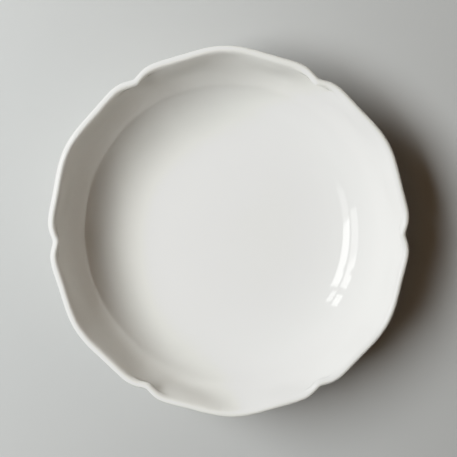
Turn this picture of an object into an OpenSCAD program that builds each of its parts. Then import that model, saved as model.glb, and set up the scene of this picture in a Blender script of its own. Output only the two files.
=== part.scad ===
// Shallow bowl of glazed ceramic with a lobed and notched rim, standing on its foot ring.
// The origin is on the table at the middle of the foot, +Z is up, and one notch of the rim lies on +X.

/* [Rim] */
// Diameter over the crests of the lobes
rim_d = 230; // [200:1:300]
// Number of lobes round the rim
lobes = 6; // [4:2:12]
// Swing of a lobe's outline to either side of its mean
lobe_wave = 1; // [0:0.1:3]
// Depth of the notch between two lobes
notch_depth = 4; // [0:0.1:8]
// Half width of a notch along the rim
notch_w = 7.8; // [3:0.1:12]
// Shape of a notch: 1 is a sharp V, 2 is a soft dent
notch_shape = 1.6; // [1:0.1:2]
// Height over which the notches fade below the lip's shoulder, inside the bowl
notch_fade_in = 3; // [2:0.5:12]
// Height over which the notches fade below the lip, outside the bowl
notch_fade_out = 8; // [4:0.5:20]
// Height over which the lobes fade into the round wall below the lip
lobe_fade = 14; // [8:0.5:28]
// Thickness of the wall at the lip
lip_t = 4.6; // [3:0.1:7]
// Slope of the wall at the lip, in degrees from level
lip_slope = 68; // [48:1:75]
// Out-of-round swing of the rim, left by drying and firing
oval = 1.6; // [0:0.1:3]
// Direction of the rim's longer axis, in degrees from +X
oval_dir = 105; // [0:1:180]

/* [Wall and base] */
// Height of the bowl over all
bowl_h = 50; // [38:0.5:75]
// Diameter of the flat well
well_d = 100; // [70:1:140]
// Thickness of the base under the well, glaze included
base_t = 5; // [3:0.1:9]
// Fullness of the wall's curve: a higher value is a tighter corner
wall_fullness = 0.8; // [0.5:0.05:0.9]

/* [Foot] */
// Outside diameter of the foot ring
foot_d = 124; // [90:1:150]
// Width of the foot ring
foot_w = 4.5; // [3:0.1:10]
// Height of the glazed underside above the table
foot_h = 5; // [3:0.1:10]
// Bevel on the two edges of the foot that stand on the table
foot_bevel = 0.8; // [0.2:0.1:1.4]
// Flat ledge between the foot ring and the start of the wall's curve
foot_ledge = 3; // [1:0.1:8]

/* [Glaze] */
// Thickness of the glaze
glaze_t = 0.4; // [0.3:0.05:0.8]

/* [Hidden] */

// Fineness of the faceted surfaces
wall_steps = 8;
flare_steps = 2;
shoulder_steps = 2;
crown_steps = 2;
edge_steps = 3;
half_lobe_steps = 9;
// Crowding of the angles towards the notches, where the outline turns fastest
notch_crowding = 1.25;

rim_r = rim_d / 2;
well_r = well_d / 2;
foot_r = foot_d / 2;
floor_z = foot_h + base_t;
half_lobe = 180 / lobes;

// Angles round the bowl, in degrees
angles = [
    for (lobe = [0 : lobes - 1])
    for (step = [1 - half_lobe_steps : half_lobe_steps])
    half_lobe * (2 * lobe + sign(step) * pow(abs(step) / half_lobe_steps, notch_crowding))
];
sides = len(angles);
widest_step = half_lobe * (1 - pow(1 - 1 / half_lobe_steps, notch_crowding));

// Direction in the half section, in degrees from outward to up
function dir(turn) = [cos(turn), sin(turn)];

// The wall climbs into the lip, its inner face towards inner_turn and its outer face towards outer_turn.
// The inner face flares out a little, a shoulder turns it into the low crown, and a round outer edge ends it.
inner_turn = lip_slope + 90;
outer_turn = lip_slope - 90;
flare_end = inner_turn - 10;
crown_start = 97;
crown_end = 65;
flare_r = 2.6 * lip_t;
shoulder_r = 0.6 * lip_t;
outer_edge_r = 0.36 * lip_t;

// Radius of the crown that makes the four arcs together as wide as the wall is thick
function across(turn) = cos(turn - outer_turn);
inner_part = flare_r * (across(flare_end) + 1) + shoulder_r * (across(crown_start) - across(flare_end));
outer_part = outer_edge_r * (1 - across(crown_end));
crown_r = (lip_t - inner_part - outer_part) / (across(crown_end) - across(crown_start));

outer_edge_centre = [rim_r - outer_edge_r, bowl_h - crown_r + (crown_r - outer_edge_r) * sin(crown_end)];
crown_centre = outer_edge_centre - (crown_r - outer_edge_r) * dir(crown_end);
shoulder_centre = crown_centre + (crown_r - shoulder_r) * dir(crown_start);
flare_centre = shoulder_centre + (shoulder_r - flare_r) * dir(flare_end);
inner_arcs = [
    // centre, radius, first turn, last turn, steps
    [flare_centre, flare_r, inner_turn, flare_end, flare_steps],
    [shoulder_centre, shoulder_r, flare_end, crown_start, shoulder_steps],
    [crown_centre, crown_r, crown_start, crown_end, crown_steps]
];
outer_arcs = [
    [outer_edge_centre, outer_edge_r, crown_end, outer_turn, edge_steps]
];
lip_inside = flare_centre + flare_r * dir(inner_turn);
lip_outside = outer_edge_centre + outer_edge_r * dir(outer_turn);
shoulder_foot = shoulder_centre + shoulder_r * dir(flare_end);

// How far the lobes carry the rim out from its round form at an angle
function lobe_shift(angle) = lobe_wave * (cos(2 * lobes * angle) - 1);

// How far the bowl is out of round at the rim
function warp_shift(angle) = oval * cos(2 * (angle - oval_dir));

// How far the nearest notch draws the rim in
function notch_shift(angle) =
    let (from_notch = angle - 2 * half_lobe * round(angle / (2 * half_lobe)))
    let (along_rim = rim_r * abs(from_notch) * PI / 180)
    -notch_depth * exp(-pow(along_rim / notch_w, notch_shape));

// Share of a shift at a height: all of it from top up, none below its fade
function share(z, top, fade) =
    let (up = min(1, max(0, 1 - (top - z) / fade)))
    up * up * (3 - 2 * up);

// Share of the notches on either face of the lip and the wall
function notch_inside(z) = share(z, shoulder_foot[1], notch_fade_in);
function notch_outside(z) = share(z, lip_outside[1], notch_fade_out);

// The lobes fade below the lip, and the warp fades over the whole wall
lip_foot = bowl_h - lip_t;
function rim_shift(angle, z, notch_share) =
    share(z, lip_foot, lobe_fade) * lobe_shift(angle)
    + share(z, lip_foot, lip_foot - floor_z) * warp_shift(angle)
    + notch_share * notch_shift(angle);

// Control points of a wall curve that leaves the level at start and climbs into the lip at end
function wall_curve(start, end) =
    let (corner = [end[0] - (end[1] - start[1]) / tan(lip_slope), start[1]])
    [start, start + wall_fullness * (corner - start), end + wall_fullness * (corner - end), end];

function curve_point(c, t) =
    pow(1 - t, 3) * c[0] + 3 * pow(1 - t, 2) * t * c[1] + 3 * (1 - t) * t * t * c[2] + pow(t, 3) * c[3];

function curve_way(c, t) =
    let (way = pow(1 - t, 2) * (c[1] - c[0]) + 2 * (1 - t) * t * (c[2] - c[1]) + t * t * (c[3] - c[2]))
    way / norm(way);

inside_curve = wall_curve([well_r, floor_z], lip_inside);
outside_curve = wall_curve([foot_r + foot_ledge, foot_h], lip_outside);

// Half of the section, from the well's edge over the lip to the underside, as points with their outward
// directions and their share of the notches: [radius, height], [outward in radius, outward in height],
// share. The points close up towards the lip, where the lobes fade.
section = concat(
    [
        for (i = [0 : wall_steps])
        let (t = sin(90 * i / wall_steps))
        let (at = curve_point(inside_curve, t), way = curve_way(inside_curve, t))
        [at, [-way[1], way[0]], notch_inside(at[1])]
    ],
    [
        for (arc = inner_arcs, i = [1 : arc[4]])
        let (outward = dir(arc[2] + (arc[3] - arc[2]) * i / arc[4]), at = arc[0] + arc[1] * outward)
        [at, outward, notch_inside(at[1])]
    ],
    [
        for (arc = outer_arcs, i = [1 : arc[4]])
        let (outward = dir(arc[2] + (arc[3] - arc[2]) * i / arc[4]), at = arc[0] + arc[1] * outward)
        [at, outward, notch_outside(at[1])]
    ],
    [
        for (i = [wall_steps - 1 : -1 : 0])
        let (t = sin(90 * i / wall_steps))
        let (at = curve_point(outside_curve, t), way = curve_way(outside_curve, t))
        [at, [way[1], -way[0]], notch_outside(at[1])]
    ]
);
// The glaze goes on over the flat ledge to the foot, where its flats clear the round foot ring
foot_edge = [[foot_r / cos(widest_step / 2), foot_h], [0, -1], 0];

// Rings of points, depth below the glazed surface: 0 is the glaze's face, glaze_t is the clay's
function rings(stations, depth) = [
    for (station = stations, angle = angles)
    let (at = station[0] - depth * station[1])
    let (r = at[0] + rim_shift(angle, station[0][1], station[2]))
    [r * cos(angle), r * sin(angle), at[1]]
];

// Triangles between two rings that start at points first and next
function band(first, next, turned = false) = [
    for (j = [0 : sides - 1])
    let (k = (j + 1) % sides)
    each turned
        ? [[first + j, next + k, first + k], [first + j, next + j, next + k]]
        : [[first + j, first + k, next + k], [first + j, next + k, next + j]]
];

function sheet(first, count, turned = false) = [
    for (i = [0 : count - 2])
    each band(first + i * sides, first + (i + 1) * sides, turned)
];

// Flat disc on one ring, facing up or down
function disc_up(first) = [for (j = [sides - 1 : -1 : 0]) first + j];
function disc_down(first) = [for (j = [0 : sides - 1]) first + j];

// Fired body: well, wall, lip and base in one piece with the foot ring
module clay_body() {
    last = (len(section) - 1) * sides;
    color([0.86, 0.80, 0.70]) {
        polyhedron(
            points = rings(section, glaze_t),
            faces = concat([disc_up(0)], sheet(0, len(section)), [disc_down(last)])
        );
        foot_ring();
    }
}

// Ring that stands on the table, reaching up into the base
module foot_ring() {
    top = foot_h + base_t / 2;
    inner_r = foot_r - foot_w;
    rotate_extrude($fn = 128)
        polygon([
            [inner_r, top],
            [inner_r, foot_bevel],
            [inner_r + foot_bevel, 0],
            [foot_r - foot_bevel, 0],
            [foot_r, foot_bevel],
            [foot_r, top]
        ]);
}

// Glass coat over the inside, the lip and the outside, down to the bare foot ring
module glaze_coat() {
    stations = concat(section, [foot_edge]);
    count = len(stations);
    clay_side = count * sides;
    foot_end = (count - 1) * sides;
    color([0.93, 0.92, 0.88])
        polyhedron(
            points = concat(rings(stations, 0), rings(stations, glaze_t)),
            faces = concat(
                [disc_up(0)],
                sheet(0, count),
                band(foot_end, clay_side + foot_end),
                sheet(clay_side, count, turned = true),
                [disc_down(clay_side)]
            )
        );
}

// Patch of glaze on the underside, inside the foot ring
module underside_glaze() {
    color([0.91, 0.90, 0.85])
        translate([0, 0, foot_h])
            cylinder(r = foot_r - foot_w, h = glaze_t, $fn = 128);
}

clay_body();
glaze_coat();
underside_glaze();
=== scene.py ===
# Looks of a shallow white bowl with a lobed and notched rim: its glaze, bare foot, floor, light and camera.
import math

import bpy
from mathutils import Matrix, Vector


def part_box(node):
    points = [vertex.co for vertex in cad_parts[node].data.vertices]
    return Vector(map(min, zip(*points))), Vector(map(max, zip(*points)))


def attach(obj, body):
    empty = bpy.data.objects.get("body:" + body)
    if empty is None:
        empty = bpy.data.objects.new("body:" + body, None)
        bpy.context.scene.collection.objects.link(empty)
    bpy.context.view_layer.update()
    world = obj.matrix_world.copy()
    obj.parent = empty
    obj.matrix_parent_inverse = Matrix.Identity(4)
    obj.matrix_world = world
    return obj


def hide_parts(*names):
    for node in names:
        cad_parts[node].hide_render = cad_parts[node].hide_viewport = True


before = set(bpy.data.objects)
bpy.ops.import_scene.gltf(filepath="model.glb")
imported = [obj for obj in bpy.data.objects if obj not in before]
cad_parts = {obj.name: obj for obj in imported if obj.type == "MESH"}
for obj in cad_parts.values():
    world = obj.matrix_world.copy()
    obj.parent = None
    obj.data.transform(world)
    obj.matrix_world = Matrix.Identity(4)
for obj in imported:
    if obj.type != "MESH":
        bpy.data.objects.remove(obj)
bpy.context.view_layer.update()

MM = 0.001

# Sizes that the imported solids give
patch_low, patch_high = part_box("underside_glaze")
BOWL_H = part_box("glaze_coat")[1].z
UNDERSIDE_Z = patch_low.z
GLAZE_T = patch_high.z - patch_low.z
FOOT_INNER_R = patch_high.x

# Sizes of the turned form and its rim, which become the named inputs of each piece's node tree.
# Lengths are in metres, angles in radians.
SIZES = {
    "Rim radius": 115 * MM,
    "Lobes": 6,
    "Lobe wave": 1.0 * MM,
    "Lobe fade": 14 * MM,
    "Notch depth": 4.0 * MM,
    "Notch half width": 7.8 * MM,
    "Notch shape": 1.6,
    "Notch fade inside": 3 * MM,
    "Notch fade outside": 8 * MM,
    "Lip thickness": 4.6 * MM,
    "Lip slope": math.radians(68),
    "Oval": 1.6 * MM,
    "Oval direction": math.radians(105),
    "Bowl height": BOWL_H,
    "Well radius": 50 * MM,
    "Well height": UNDERSIDE_Z + 5 * MM,
    "Wall fullness": 0.8,
    "Underside height": UNDERSIDE_Z,
    "Foot radius": 62 * MM,
    "Foot inner radius": FOOT_INNER_R,
    "Foot ledge": 3 * MM,
    "Foot edge round": 0.9 * MM,
    "Glaze thickness": GLAZE_T,
    "Glaze bead": 0.9 * MM,
    "Ripple": 0.05 * MM,
    "Ripple length": 26 * MM,
}
# The lip's crown turns between these directions, in radians from outward to up
CROWN_START = math.radians(97)
CROWN_END = math.radians(65)
# The flare turns this far off the wall
FLARE_TURN = math.radians(10)
# Radii of the lip's rounds as shares of its thickness
FLARE = 2.6
SHOULDER = 0.6
OUTER_EDGE = 0.36

# Faces of the wall
INNER = 1
OUTER = -1

ANGLE_STEPS = 72 * SIZES["Lobes"]
WELD_DISTANCE = 0.01 * MM


class Term:
    """A socket of a node tree. Arithmetic on it adds the nodes that work it out."""

    def __init__(self, tree, socket=None):
        self.tree = tree
        self.socket = socket

    def node(self, kind, settings=None, inputs=None, out=0):
        """Adds a node of any kind: its settings first, then the values or links of its sockets."""
        made = self.tree.nodes.new(kind)
        for name, value in (settings or {}).items():
            setattr(made, name, value)
        for key, value in (inputs or {}).items():
            if isinstance(value, Term):
                self.tree.links.new(value.socket, made.inputs[key])
            else:
                made.inputs[key].default_value = value
        return Term(self.tree, made.outputs[out])

    def math(self, operation, *others):
        return self.node("ShaderNodeMath", {"operation": operation}, dict(enumerate((self, *others))))

    def vector(self, operation, other):
        return self.node("ShaderNodeVectorMath", {"operation": operation}, {0: self, 1: other})

    def scaled(self, factor):
        return self.node("ShaderNodeVectorMath", {"operation": "SCALE"}, {0: self, "Scale": factor})

    def is_vector(self):
        return self.socket.type == "VECTOR"

    def __add__(self, other):
        return self.vector("ADD", other) if self.is_vector() else self.math("ADD", other)

    def __radd__(self, other):
        return self + other

    def __sub__(self, other):
        return self.vector("SUBTRACT", other) if self.is_vector() else self.math("SUBTRACT", other)

    def __rsub__(self, other):
        return self * -1 + other

    def __mul__(self, other):
        return self.scaled(other) if self.is_vector() else self.math("MULTIPLY", other)

    def __rmul__(self, other):
        return self * other

    def __truediv__(self, other):
        return self.math("DIVIDE", other)

    def __rtruediv__(self, other):
        return self ** -1 * other

    def __pow__(self, other):
        return self.math("POWER", other)

    def part(self, axis):
        return self.node("ShaderNodeSeparateXYZ", None, {0: self}, axis)

    def clipped(self):
        return self.node("ShaderNodeClamp", None, {0: self})

    def eased(self):
        """Smooth step of a value from 0 to 1."""
        return self * self * (3 - 2 * self)

    def bell(self, middle, width):
        """1 at the middle, falling to 0 a few widths away."""
        return ((self - middle) / width * ((self - middle) / width) * -1).math("EXPONENT")

    def noise(self, length, detail=2.0, roughness=0.5):
        """Soft noise on a place, with features about as long as given."""
        settings = {"Vector": self, "Scale": 1 / length, "Detail": detail, "Roughness": roughness}
        return self.node("ShaderNodeTexNoise", None, settings)


def plane_point(radius, height, notch_share=0.0):
    """Point of the half section: its radius and height, and its share of the notches, as one vector."""
    start = radius if isinstance(radius, Term) else height
    return start.node("ShaderNodeCombineXYZ", None, {0: radius, 1: height, 2: notch_share})


def spoke(turn, length):
    """Step of a length towards a turn, in radians from outward to up."""
    if isinstance(turn, Term):
        return plane_point(turn.math("COSINE") * length, turn.math("SINE") * length)
    return plane_point(length * math.cos(turn), length * math.sin(turn))


def between(a, b, t):
    """Point at a share t of the way from a to b."""
    return t.node("ShaderNodeMix", {"data_type": "VECTOR"}, {0: t, 4: a, 5: b}, 1)


# Stretches of the half section. Each is a function that gives the point at a share t of the stretch.
def line(start, end):
    return lambda t: between(start, end, t)


def arc(middle, radius, first, last):
    return lambda t: middle + spoke(t * (last - first) + first, radius)


def turned_back(stretch):
    return lambda t: stretch(1 - t)


def well(size, depth):
    height = size["Well height"] - depth
    return line(plane_point(0.0, height), plane_point(size["Well radius"], height))


def lip_rounds(size):
    """The lip's flare, shoulder, crown and outer edge: middle, radius, first and last turn of each."""
    thick = size["Lip thickness"]
    inner_turn = size["Lip slope"] + math.pi / 2
    outer_turn = size["Lip slope"] - math.pi / 2
    flare_end = inner_turn - FLARE_TURN
    flare_r, shoulder_r, outer_r = thick * FLARE, thick * SHOULDER, thick * OUTER_EDGE
    across_flare = -math.cos(FLARE_TURN)
    across_start = (CROWN_START - outer_turn).math("COSINE")
    across_end = (CROWN_END - outer_turn).math("COSINE")
    inner_part = flare_r * (across_flare + 1) + shoulder_r * (across_start - across_flare)
    crown_r = (thick - inner_part - outer_r * (1 - across_end)) / (across_end - across_start)
    outer_height = size["Bowl height"] - crown_r + (crown_r - outer_r) * math.sin(CROWN_END)
    outer_middle = plane_point(size["Rim radius"] - outer_r, outer_height)
    crown_middle = outer_middle - spoke(CROWN_END, crown_r - outer_r)
    shoulder_middle = crown_middle + spoke(CROWN_START, crown_r - shoulder_r)
    flare_middle = shoulder_middle + spoke(flare_end, shoulder_r - flare_r)
    return [
        (flare_middle, flare_r, inner_turn, flare_end),
        (shoulder_middle, shoulder_r, flare_end, CROWN_START),
        (crown_middle, crown_r, CROWN_START, CROWN_END),
        (outer_middle, outer_r, CROWN_END, outer_turn),
    ]


def wall_round(size, side):
    """The round of the lip that a face of the wall climbs into."""
    return size["rounds"][0 if side == INNER else -1]


def notched(size, side, at, height):
    """Point with its share of the notches: whole on the lip, fading below it on either face of the wall."""
    middle, radius, first, last = wall_round(size, side)
    top = (middle + spoke(last, radius)).part(1)
    fade = size["Notch fade inside" if side == INNER else "Notch fade outside"]
    share = (1 - (top - height) / fade).clipped().eased()
    return plane_point(at.part(0), at.part(1), share)


def lip_round(size, side, depth, middle, radius, first, last):
    """One round of the lip, at a depth below the glaze's face."""
    face = arc(middle, radius, first, last)
    at = arc(middle, radius - depth, first, last)
    return lambda t: notched(size, side, at(t), face(t).part(1))


def lip(size, depth, steps):
    """The four rounds of the lip, each with its number of steps."""
    rounds = zip(steps, (INNER, INNER, INNER, OUTER), size["rounds"])
    return [(count, lip_round(size, side, depth, *bend)) for count, side, bend in rounds]


def wall(size, start_radius, start_height, side, depth):
    """Curve that leaves the level and climbs into the lip, on the inner or the outer face of the wall."""
    slope = size["Lip slope"]
    full = size["Wall fullness"]
    middle, radius, first, last = wall_round(size, side)
    start = plane_point(start_radius, start_height)
    end = middle + spoke(first if side == INNER else last, radius)
    corner_radius = end.part(0) - (end.part(1) - start_height) / slope.math("TANGENT")
    corner = plane_point(corner_radius, start_height)
    near = between(start, corner, full)
    far = between(end, corner, full)

    def point(t):
        joint = between(near, far, t)
        low = between(between(start, near, t), joint, t)
        high = between(joint, between(far, end, t), t)
        climb = high - low
        way = climb.node("ShaderNodeVectorMath", {"operation": "NORMALIZE"}, {0: climb})
        face = between(low, high, t)
        inward = plane_point(way.part(1) * side, way.part(0) * -side)
        return notched(size, side, face + inward * depth, face.part(1))

    return point


def inside(size, depth):
    return wall(size, size["Well radius"], size["Well height"], INNER, depth)


def outside(size, depth):
    ledge_radius = size["Foot radius"] + size["Foot ledge"]
    return turned_back(wall(size, ledge_radius, size["Underside height"], OUTER, depth))


def ledge(size, depth, reach):
    """Flat underside from the wall's curve to a reach outside the foot ring."""
    height = size["Underside height"] + depth
    start = plane_point(size["Foot radius"] + size["Foot ledge"], height)
    return line(start, plane_point(size["Foot radius"] + reach, height))


def coat_path(size):
    """Round the main coat of glaze: its face from the well to the foot, then its clay side back again."""
    bead = size["Glaze bead"]
    deep = size["Glaze thickness"]
    bead_middle = plane_point(size["Foot radius"] + bead, size["Underside height"] - bead)
    corner = plane_point(size["Foot radius"], size["Underside height"] + deep)
    bead_end = plane_point(size["Foot radius"], size["Underside height"] - bead)
    return [
        (10, well(size, 0)),
        (56, inside(size, 0)),
        *lip(size, 0, (6, 6, 6, 9)),
        (48, outside(size, 0)),
        (3, ledge(size, 0, bead)),
        (6, arc(bead_middle, bead, math.pi / 2, math.pi)),
        (2, line(bead_end, corner)),
        (2, turned_back(ledge(size, deep, 0.0))),
        (16, turned_back(outside(size, deep))),
        *[(steps, turned_back(stretch)) for steps, stretch in reversed(lip(size, deep, (3, 2, 2, 4)))],
        (16, turned_back(inside(size, deep))),
        (3, turned_back(well(size, deep))),
    ]


def body_path(size):
    """Over the clay from the well to the foot, round the foot ring and in to the underside's middle."""
    deep = size["Glaze thickness"]
    edge = size["Foot edge round"]
    outer, inner = size["Foot radius"], size["Foot inner radius"]
    top = size["Underside height"] + deep
    return [
        (4, well(size, deep)),
        (24, inside(size, deep)),
        *lip(size, deep, (4, 3, 3, 5)),
        (24, outside(size, deep)),
        (2, ledge(size, deep, 0.0)),
        (5, line(plane_point(outer, top), plane_point(outer, edge))),
        (6, arc(plane_point(outer - edge, edge), edge, 0, -math.pi / 2)),
        (6, line(plane_point(outer - edge, 0.0), plane_point(inner + edge, 0.0))),
        (6, arc(plane_point(inner + edge, edge), edge, -math.pi / 2, -math.pi)),
        (5, line(plane_point(inner, edge), plane_point(inner, top))),
        (8, line(plane_point(inner, top), plane_point(0.0, top))),
    ]


def patch_path(size):
    """Round the patch of glaze in the foot ring: its clay side, its edge, its bead and its face."""
    bead = size["Glaze bead"]
    inner = size["Foot inner radius"]
    face = size["Underside height"]
    top = face + size["Glaze thickness"]
    return [
        (8, line(plane_point(0.0, top), plane_point(inner, top))),
        (3, line(plane_point(inner, top), plane_point(inner, face - bead))),
        (6, arc(plane_point(inner - bead, face - bead), bead, 0, math.pi / 2)),
        (12, line(plane_point(inner - bead, face), plane_point(0.0, face))),
    ]


def along(path, share):
    """Point at a share of a path of stretches, each with its number of steps."""
    station = share * sum(steps for steps, stretch in path)
    point = None
    start = 0
    for steps, stretch in path:
        reached = stretch(((station - start) / steps).clipped())
        passed = station.math("GREATER_THAN", start)
        if point is None:
            point = reached
        else:
            choice = {"Switch": passed, "False": point, "True": reached}
            point = station.node("GeometryNodeSwitch", {"input_type": "VECTOR"}, choice)
        start += steps
    return point


def rim_shift(size, angle, height, notch_share):
    """How far the lobes, the warp and the notches move the rim, fading into the round wall below it."""
    lip_foot = size["Bowl height"] - size["Lip thickness"]
    lobe_share = (1 - (lip_foot - height) / size["Lobe fade"]).clipped().eased()
    warp_share = ((height - size["Well height"]) / (lip_foot - size["Well height"])).clipped().eased()
    lobes = lobe_share * size["Lobe wave"] * ((2 * size["Lobes"] * angle).math("COSINE") - 1)
    warp = warp_share * size["Oval"] * (2 * (angle - size["Oval direction"])).math("COSINE")
    pitch = 2 * math.pi / size["Lobes"]
    from_notch = (angle - pitch * (angle / pitch).math("ROUND")).math("ABSOLUTE")
    along_rim = size["Rim radius"] * from_notch
    notch = (-1 * (along_rim / size["Notch half width"]) ** size["Notch shape"]).math("EXPONENT")
    return lobes + warp - notch_share * size["Notch depth"] * notch


def turned_tree(name, path_of, material, rippled):
    """Geometry tree that turns a path round the upright axis and shifts its rim, by the sizes it takes."""
    tree = bpy.data.node_groups.new(name, "GeometryNodeTree")
    tree.interface.new_socket("Geometry", in_out="OUTPUT", socket_type="NodeSocketGeometry")
    for size_name in SIZES:
        tree.interface.new_socket(size_name, in_out="INPUT", socket_type="NodeSocketFloat")
    group_input = tree.nodes.new("NodeGroupInput")
    size = {size_name: Term(tree, group_input.outputs[size_name]) for size_name in SIZES}
    size["rounds"] = lip_rounds(size)
    start = Term(tree)

    path = path_of(size)
    stations = sum(steps for steps, stretch in path) + 1
    counts = {"Size X": 1.0, "Size Y": 1.0, "Vertices X": stations, "Vertices Y": ANGLE_STEPS + 1}
    grid = start.node("GeometryNodeMeshGrid", None, counts)
    place = start.node("GeometryNodeInputPosition")
    angle = (place.part(1) + 0.5) * (2 * math.pi)
    point = along(path, place.part(0) + 0.5)
    height = point.part(1)
    radius = point.part(0) + rim_shift(size, angle, height, point.part(2))
    turned = {0: radius * angle.math("COSINE"), 1: radius * angle.math("SINE"), 2: height}
    position = start.node("ShaderNodeCombineXYZ", None, turned)
    mesh = start.node("GeometryNodeSetPosition", None, {"Geometry": grid, "Position": position})
    mesh = start.node("GeometryNodeMergeByDistance", None, {"Geometry": mesh, "Distance": WELD_DISTANCE})
    if rippled:
        normal = start.node("GeometryNodeInputNormal")
        swell = place.noise(size["Ripple length"]) - 0.5
        offset = normal * (swell * 2 * size["Ripple"])
        mesh = start.node("GeometryNodeSetPosition", None, {"Geometry": mesh, "Offset": offset})
    mesh = start.node("GeometryNodeSetShadeSmooth", None, {0: mesh})
    mesh = start.node("GeometryNodeRealizeInstances", None, {0: mesh})
    mesh = start.node("GeometryNodeSetMaterial", None, {"Geometry": mesh, "Material": material})
    group_output = tree.nodes.new("NodeGroupOutput")
    tree.links.new(mesh.socket, group_output.inputs["Geometry"])
    return tree


def turned_piece(name, path_of, material, rippled=False):
    """Plain mesh object made by a turned tree."""
    tree = turned_tree(name, path_of, material, rippled)
    blank = bpy.data.objects.new(name + "_blank", bpy.data.meshes.new(name + "_blank"))
    bpy.context.scene.collection.objects.link(blank)
    modifier = blank.modifiers.new("turning", "NODES")
    modifier.node_group = tree
    for socket in tree.interface.items_tree:
        if socket.in_out == "INPUT":
            modifier[socket.identifier] = float(SIZES[socket.name])
    graph = bpy.context.evaluated_depsgraph_get()
    mesh = bpy.data.meshes.new_from_object(blank.evaluated_get(graph))
    mesh.name = name
    bpy.data.objects.remove(blank)
    piece = bpy.data.objects.new(name, mesh)
    bpy.context.scene.collection.objects.link(piece)
    return piece


def new_material(name):
    """A material, its output shader node and a term to start its maths from."""
    material = bpy.data.materials.new(name)
    material.use_nodes = True
    shader = material.node_tree.nodes["Principled BSDF"]
    return material, shader, Term(material.node_tree)


def feed(shader, socket, term):
    """Links a term to a socket of a shader."""
    term.tree.links.new(term.socket, shader.inputs[socket])


def tinted(share, plain, tint):
    """Colour that goes from plain to tint by a share."""
    return share.node("ShaderNodeMix", {"data_type": "RGBA"}, {0: share, 6: plain, 7: tint}, 2)


# Where the glaze changes: thin over the lip, pooled in the corner of the wall, duller in the well
LIP_BAND = 2 * MM
POOL_RADIUS = 80 * MM
POOL_WIDTH = 16 * MM
POOL_HEIGHT = SIZES["Well height"] + 5 * MM
WORN_RADIUS = 0.9 * SIZES["Well radius"]
WORN_FADE = 12 * MM
GLAZE_IOR = 1.7


def white_glaze():
    """Glossy warm white glass: faintly clouded, greyer where it pools, warmer where it thins on the lip."""
    material, shader, start = new_material("white_glaze")
    place = start.node("ShaderNodeTexCoord", out="Object")
    radius = (place.part(0) ** 2 + place.part(1) ** 2) ** 0.5
    height = place.part(2)
    cloud = place.noise(32 * MM, 3.0)
    grain = place.noise(1.1 * MM, 2.0)
    over_lip = ((height - (BOWL_H - LIP_BAND)) / LIP_BAND).clipped().eased()
    pooled = radius.bell(POOL_RADIUS, POOL_WIDTH) * height.bell(POOL_HEIGHT, POOL_WIDTH / 2)
    in_well = (1 - (radius - WORN_RADIUS) / WORN_FADE).clipped().eased()

    colour = tinted(cloud, (0.79, 0.776, 0.745, 1), (0.815, 0.801, 0.77, 1))
    colour = tinted(pooled * 0.5, colour, (0.77, 0.766, 0.73, 1))
    colour = tinted(over_lip * 0.5, colour, (0.82, 0.805, 0.765, 1))
    feed(shader, "Base Color", colour)
    feed(shader, "Roughness", 0.03 + cloud * 0.02 + in_well * grain * 0.06)
    pits = (1 - place.noise(0.7 * MM, 1.0) * 3.2).clipped()
    bump = start.node("ShaderNodeBump", None, {"Strength": 0.12, "Distance": 0.05 * MM, "Height": 1 - pits})
    feed(shader, "Normal", bump)
    shader.inputs["IOR"].default_value = GLAZE_IOR
    return material


# Bands on the foot: greyed where it stands, toasted where the glaze ends
STANDING_BAND = 0.8 * MM
SEAM_WIDTH = 0.35 * MM


def bare_clay():
    """Unglazed fired clay: pale buff, matt and grainy."""
    material, shader, start = new_material("bare_clay")
    place = start.node("ShaderNodeTexCoord", out="Object")
    height = place.part(2)
    cloud = place.noise(9 * MM, 4.0, 0.6)
    grain = place.noise(0.45 * MM, 3.0, 0.7)
    standing = (1 - height / STANDING_BAND).clipped()
    seam = height.bell(UNDERSIDE_Z - SIZES["Glaze bead"], SEAM_WIDTH)

    colour = tinted(cloud, (0.70, 0.615, 0.49, 1), (0.79, 0.72, 0.60, 1))
    colour = tinted(grain * 0.35, colour, (0.60, 0.50, 0.38, 1))
    colour = tinted(standing * cloud * 0.6, colour, (0.47, 0.43, 0.37, 1))
    colour = tinted(seam * 0.5, colour, (0.55, 0.40, 0.25, 1))
    feed(shader, "Base Color", colour)
    feed(shader, "Roughness", 0.72 + grain * 0.2 - standing * 0.12)
    bump = start.node("ShaderNodeBump", None, {"Strength": 0.5, "Distance": 0.12 * MM, "Height": grain})
    feed(shader, "Normal", bump)
    return material


def pale_floor():
    """Plain matt floor with a barely seen cloudiness."""
    material, shader, start = new_material("pale_floor")
    place = start.node("ShaderNodeTexCoord", out="Object")
    cloud = place.noise(180 * MM, 3.0)
    feed(shader, "Base Color", tinted(cloud, (0.50, 0.50, 0.495, 1), (0.53, 0.53, 0.525, 1)))
    shader.inputs["Roughness"].default_value = 0.9
    return material


# The pieces of the bowl
glaze = white_glaze()
clay = bare_clay()
PIECES = [
    ("bowl_glaze", coat_path, glaze, True, "glaze_coat", "white_glaze"),
    ("bowl_clay", body_path, clay, False, "clay_body", "bare_clay"),
    ("bowl_underside_glaze", patch_path, glaze, False, "underside_glaze", "white_glaze"),
]
for name, path_of, material, rippled, node, slot in PIECES:
    piece = turned_piece(name, path_of, material, rippled)
    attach(piece, "root")
    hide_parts(node)

# Floor
FLOOR_HALF = 3.0
floor_mesh = bpy.data.meshes.new("floor")
corners = [(-FLOOR_HALF, -FLOOR_HALF, 0), (FLOOR_HALF, -FLOOR_HALF, 0)]
corners += [(FLOOR_HALF, FLOOR_HALF, 0), (-FLOOR_HALF, FLOOR_HALF, 0)]
floor_mesh.from_pydata(corners, [], [(0, 1, 2, 3)])
floor_mesh.materials.append(pale_floor())
floor = bpy.data.objects.new("floor", floor_mesh)
bpy.context.scene.collection.objects.link(floor)

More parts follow.
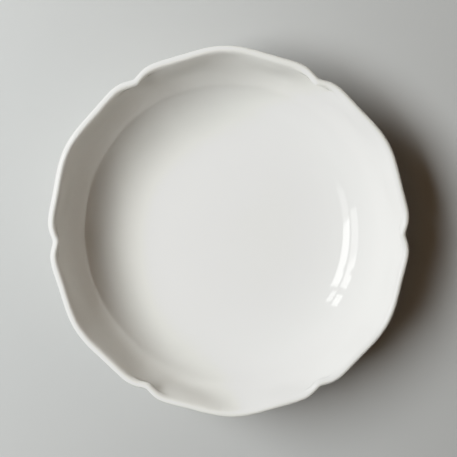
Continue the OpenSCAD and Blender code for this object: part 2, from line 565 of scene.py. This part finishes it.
# Light: a soft window to the left, its panes as the glaze mirrors them, the room's weak warm glows, and a
# faint sheen that only the glaze mirrors. Places and sizes of lights are in metres.
RIM_MIDDLE = Vector((0, 0, BOWL_H))
LIGHT_DISTANCE = 1.2
PLAIN_WHITE = (1.0, 1.0, 1.0)


def from_left(azimuth, elevation):
    """Direction to a light: azimuth in degrees from -X towards +Y, elevation in degrees above level."""
    a, e = math.radians(azimuth), math.radians(elevation)
    return Vector((-math.cos(e) * math.cos(a), math.cos(e) * math.sin(a), math.sin(e)))


def soft_light(name, way, width, height, radiance, colour=PLAIN_WHITE, roll=0, across=0, up=0, lean=0):
    """Rectangular light that faces the bowl, moved across and up in its rolled plane and leant there."""
    light = bpy.data.lights.new(name, "AREA")
    light.shape = "RECTANGLE"
    light.size = width
    light.size_y = height
    light.energy = radiance * math.pi * width * height
    light.color = colour
    lamp = bpy.data.objects.new(name, light)
    turn = way.to_track_quat("Z", "Y").to_matrix().to_4x4()
    plane = Matrix.Translation(RIM_MIDDLE + way * LIGHT_DISTANCE) @ turn @ Matrix.Rotation(roll, 4, "Z")
    lamp.matrix_world = plane @ Matrix.Translation((across, up, 0)) @ Matrix.Rotation(lean, 4, "Z")
    bpy.context.scene.collection.objects.link(lamp)
    return lamp


WINDOW_WAY = from_left(16, 45)
WINDOW_ROLL = math.radians(34)
WINDOW_WIDTH = 0.98
WINDOW_HEIGHT = 0.46
WINDOW_RADIANCE = 16.0
WINDOW_COLOUR = (0.93, 0.97, 0.974)
window = soft_light(
    "window", WINDOW_WAY, WINDOW_WIDTH, WINDOW_HEIGHT, WINDOW_RADIANCE, WINDOW_COLOUR, WINDOW_ROLL
)
window.visible_glossy = False

PANE_WAY = from_left(14, 44)
PANE_ROLL = math.radians(20)
PANE_LEAN = math.radians(-30)
PANES = [
    # across, up, lean, width, height, radiance
    (0.385, 0.485, 0, 0.27, 0.25, 6.6),
    (0.225, 0.475, PANE_LEAN, 0.09, 0.27, 6.6),
    (0.60, 0.485, 0, 0.16, 0.25, 2.0),
    (0.08, 0.43, PANE_LEAN, 0.07, 0.19, 5.2),
    (0.155, 0.13, 0, 0.11, 0.30, 5.0),
    (0.055, 0.14, PANE_LEAN, 0.11, 0.31, 5.4),
    (0.38, 0.13, 0, 0.34, 0.30, 2.9),
    (-0.10, 0.17, PANE_LEAN, 0.09, 0.27, 5.7),
]
for number, (across, up, lean, *shape) in enumerate(PANES):
    lamp = soft_light(f"pane_{number}", PANE_WAY, *shape, PLAIN_WHITE, PANE_ROLL, across, up, lean)
    lamp.visible_diffuse = False

GLOWS = [
    # name, azimuth, elevation, width, height, radiance, colour
    ("room_glow", 10, 70, 0.62, 0.34, 0.8, (1.0, 0.5, 0.1)),
    ("far_glow", 90, 30, 0.40, 0.34, 0.3, (1.0, 0.61, 0.40)),
    ("right_glow", 180, 14, 0.50, 0.30, 2.5, (1.0, 0.72, 0.45)),
]
for name, azimuth, elevation, *shape in GLOWS:
    lamp = soft_light(name, from_left(azimuth, elevation), *shape)
    lamp.visible_glossy = False

SHEEN_WAY = from_left(-90, 36)
SHEENS = [
    # width, height, radiance
    (1.7, 1.10, 0.22),
    (1.3, 0.70, 0.22),
]
for number, sheen in enumerate(SHEENS):
    lamp = soft_light(f"sheen_{number}", SHEEN_WAY, *sheen)
    lamp.visible_diffuse = False

# The room behind the floor is seen but sheds no light
ROOM_GREY = (0.10, 0.10, 0.099, 1)
world = bpy.data.worlds.new("room")
bpy.context.scene.world = world
world.use_nodes = True
world.node_tree.nodes["Background"].inputs["Color"].default_value = ROOM_GREY
world.cycles_visibility.diffuse = False
world.cycles_visibility.glossy = False

# The picture's tones: straight up to the shoulder, where the brightest glaze is held below white
TONE_SHOULDER = 0.72
WHITE = 1.36
view = bpy.context.scene.view_settings
view.view_transform = "Standard"
view.use_curve_mapping = True
tones = view.curve_mapping
tones.white_level = (WHITE, WHITE, WHITE)
tone_curve = tones.curves[3]
tone_curve.points.new(TONE_SHOULDER / WHITE, TONE_SHOULDER)
tone_curve.points[0].location = (0, 0)
tone_curve.points[-1].location = (1, 1)
for point in tone_curve.points:
    point.handle_type = "VECTOR"
tones.update()

# Camera: almost straight above, leaning towards +Y, as the photograph looks into the bowl.
# Pixels are those of the square picture, the distance is in metres, lean and roll are in radians.
IMAGE_SIDE = 457
FOCAL_PIXELS = 700
RIM_PIXEL = (230.3, 238.2)
CAMERA_DISTANCE = 0.4333
LEAN_X, LEAN_Y = -0.024, 0.135
ROLL = 0.0184

lens = bpy.data.cameras.new("photo_camera")
lens.sensor_width = 36
lens.lens = lens.sensor_width * FOCAL_PIXELS / IMAGE_SIDE
lens.shift_x = (IMAGE_SIDE / 2 - RIM_PIXEL[0]) / IMAGE_SIDE
lens.shift_y = (RIM_PIXEL[1] - IMAGE_SIDE / 2) / IMAGE_SIDE
camera = bpy.data.objects.new("photo_camera", lens)
bpy.context.scene.collection.objects.link(camera)
bpy.context.scene.camera = camera
lean = Vector((math.sin(LEAN_X), math.sin(LEAN_Y), 0))
look_back = Vector((lean.x, lean.y, math.sqrt(1 - lean.length_squared)))
right = Vector((0, 1, 0)).cross(look_back).normalized()
facing = Matrix((right, look_back.cross(right), look_back)).transposed().to_4x4()
camera.matrix_world = (
    Matrix.Rotation(-ROLL, 4, "Z") @ Matrix.Translation(RIM_MIDDLE + look_back * CAMERA_DISTANCE) @ facing
)
